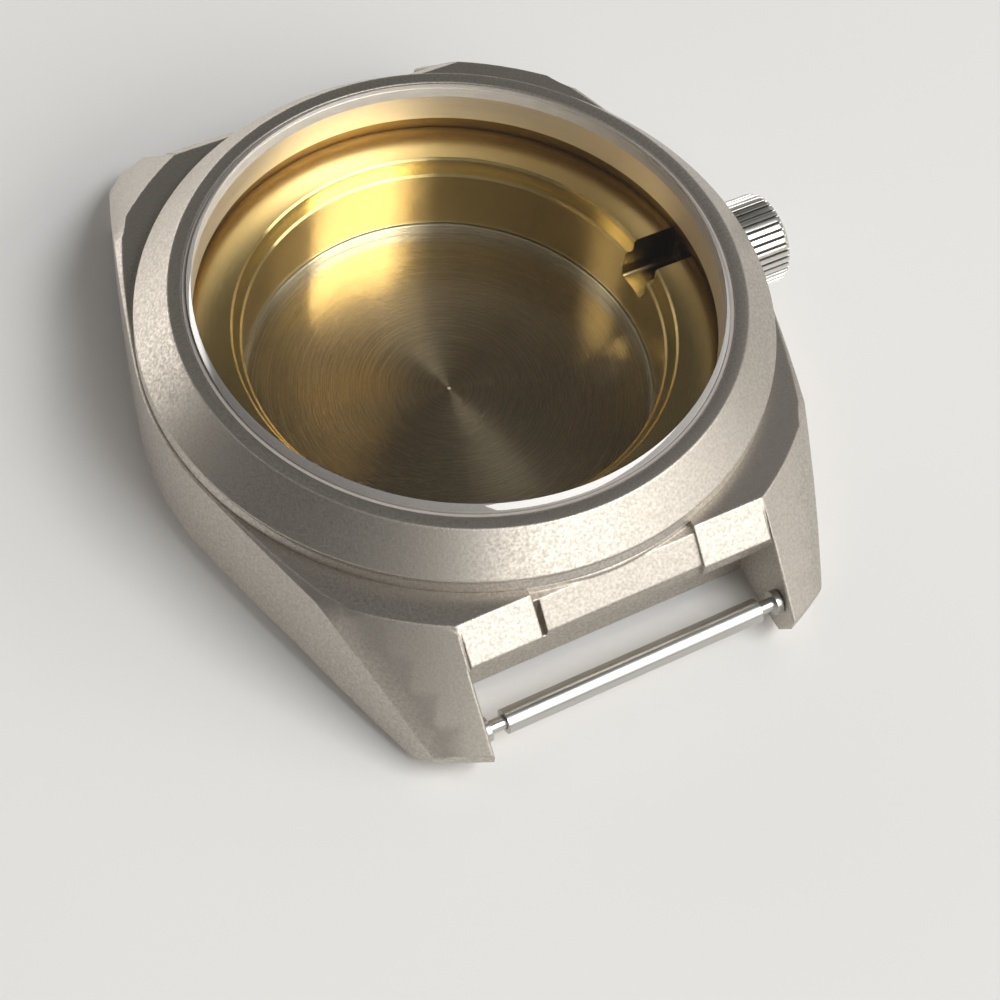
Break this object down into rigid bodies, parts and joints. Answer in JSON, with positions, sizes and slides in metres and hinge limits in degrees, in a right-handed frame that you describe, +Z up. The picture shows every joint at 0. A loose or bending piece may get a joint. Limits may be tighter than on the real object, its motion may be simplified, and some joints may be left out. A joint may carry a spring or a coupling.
{
  "type": "empty watch case",
  "caption": "Wristwatch case without its movement: coned bezel, flat crystal, brass movement ring, screw-down back, fluted crown and sprung strap bars.",
  "frame": {"origin": "centre of the flat outer face of the case back", "axes": "+Z up through the crystal, +X along the stem towards the crown at 3 o'clock, +Y towards 12 o'clock"},
  "size_m": [0.0426, 0.0488, 0.0124],
  "materials": {
    "blasted_steel": "fine bead-blasted, warm grey",
    "polished_steel": "polished",
    "turned_steel": "fine turned circles with a sunburst",
    "turned_brass": "fine turned",
    "sapphire": "clear, polished",
    "seal_plastic": "plain",
    "black_rubber": "plain",
    "bar_steel": "fine turned"
  },
  "bodies": {
    "case": {"mid_case": "blasted_steel", "bezel": "blasted_steel", "bezel_gasket": "black_rubber", "rehaut_ring": "polished_steel", "crystal": "sapphire", "crystal_gasket": "seal_plastic", "movement_ring": "turned_brass", "crown_tube": "polished_steel", "crown_tube_gasket": "black_rubber"},
    "back_seal": {"case_back_gasket": "black_rubber"},
    "case_back": {"case_back": "turned_steel"},
    "crown_seal": {"crown_gasket": "black_rubber"},
    "crown": {"crown": "polished_steel", "crown_post": "polished_steel"},
    "bar_12": {"spring_bar_12_barrel": "bar_steel", "spring_bar_12_spring": "bar_steel"},
    "tip_12_left": {"spring_bar_12_tip_left": "bar_steel"},
    "tip_12_right": {"spring_bar_12_tip_right": "bar_steel"},
    "bar_6": {"spring_bar_6_barrel": "bar_steel", "spring_bar_6_spring": "bar_steel"},
    "tip_6_left": {"spring_bar_6_tip_left": "bar_steel"},
    "tip_6_right": {"spring_bar_6_tip_right": "bar_steel"}
  },
  "joints": [
    {"name": "case_back_lift", "type": "slide", "parent": "case", "child": "back_seal", "axis": [0, 0, -1], "range_m": [0, 0.012]},
    {"name": "case_back_turn", "type": "hinge", "parent": "back_seal", "child": "case_back", "pos_m": [0, 0, 0], "axis": [0, 0, 1], "continuous": true},
    {"name": "crown_pull", "type": "slide", "parent": "case", "child": "crown_seal", "axis": [1, 0, 0], "range_m": [0, 0.0045]},
    {"name": "crown_turn", "type": "hinge", "parent": "crown_seal", "child": "crown", "pos_m": [0.0205, 0, 0.00517], "axis": [1, 0, 0], "continuous": true},
    {"name": "bar_12_turn", "type": "hinge", "parent": "case", "child": "bar_12", "pos_m": [0, 0.0227, 0.0028], "axis": [1, 0, 0], "continuous": true},
    {"name": "bar_12_tip_left", "type": "slide", "parent": "bar_12", "child": "tip_12_left", "axis": [1, 0, 0], "range_m": [0, 0.00098], "stiffness_N_per_m": 2000, "springref_m": -0.0005},
    {"name": "bar_12_tip_right", "type": "slide", "parent": "bar_12", "child": "tip_12_right", "axis": [-1, 0, 0], "range_m": [0, 0.00098], "stiffness_N_per_m": 2000, "springref_m": -0.0005},
    {"name": "bar_6_turn", "type": "hinge", "parent": "case", "child": "bar_6", "pos_m": [0, -0.0227, 0.0028], "axis": [1, 0, 0], "continuous": true},
    {"name": "bar_6_tip_left", "type": "slide", "parent": "bar_6", "child": "tip_6_left", "axis": [1, 0, 0], "range_m": [0, 0.00098], "stiffness_N_per_m": 2000, "springref_m": -0.0005},
    {"name": "bar_6_tip_right", "type": "slide", "parent": "bar_6", "child": "tip_6_right", "axis": [-1, 0, 0], "range_m": [0, 0.00098], "stiffness_N_per_m": 2000, "springref_m": -0.0005}
  ]
}
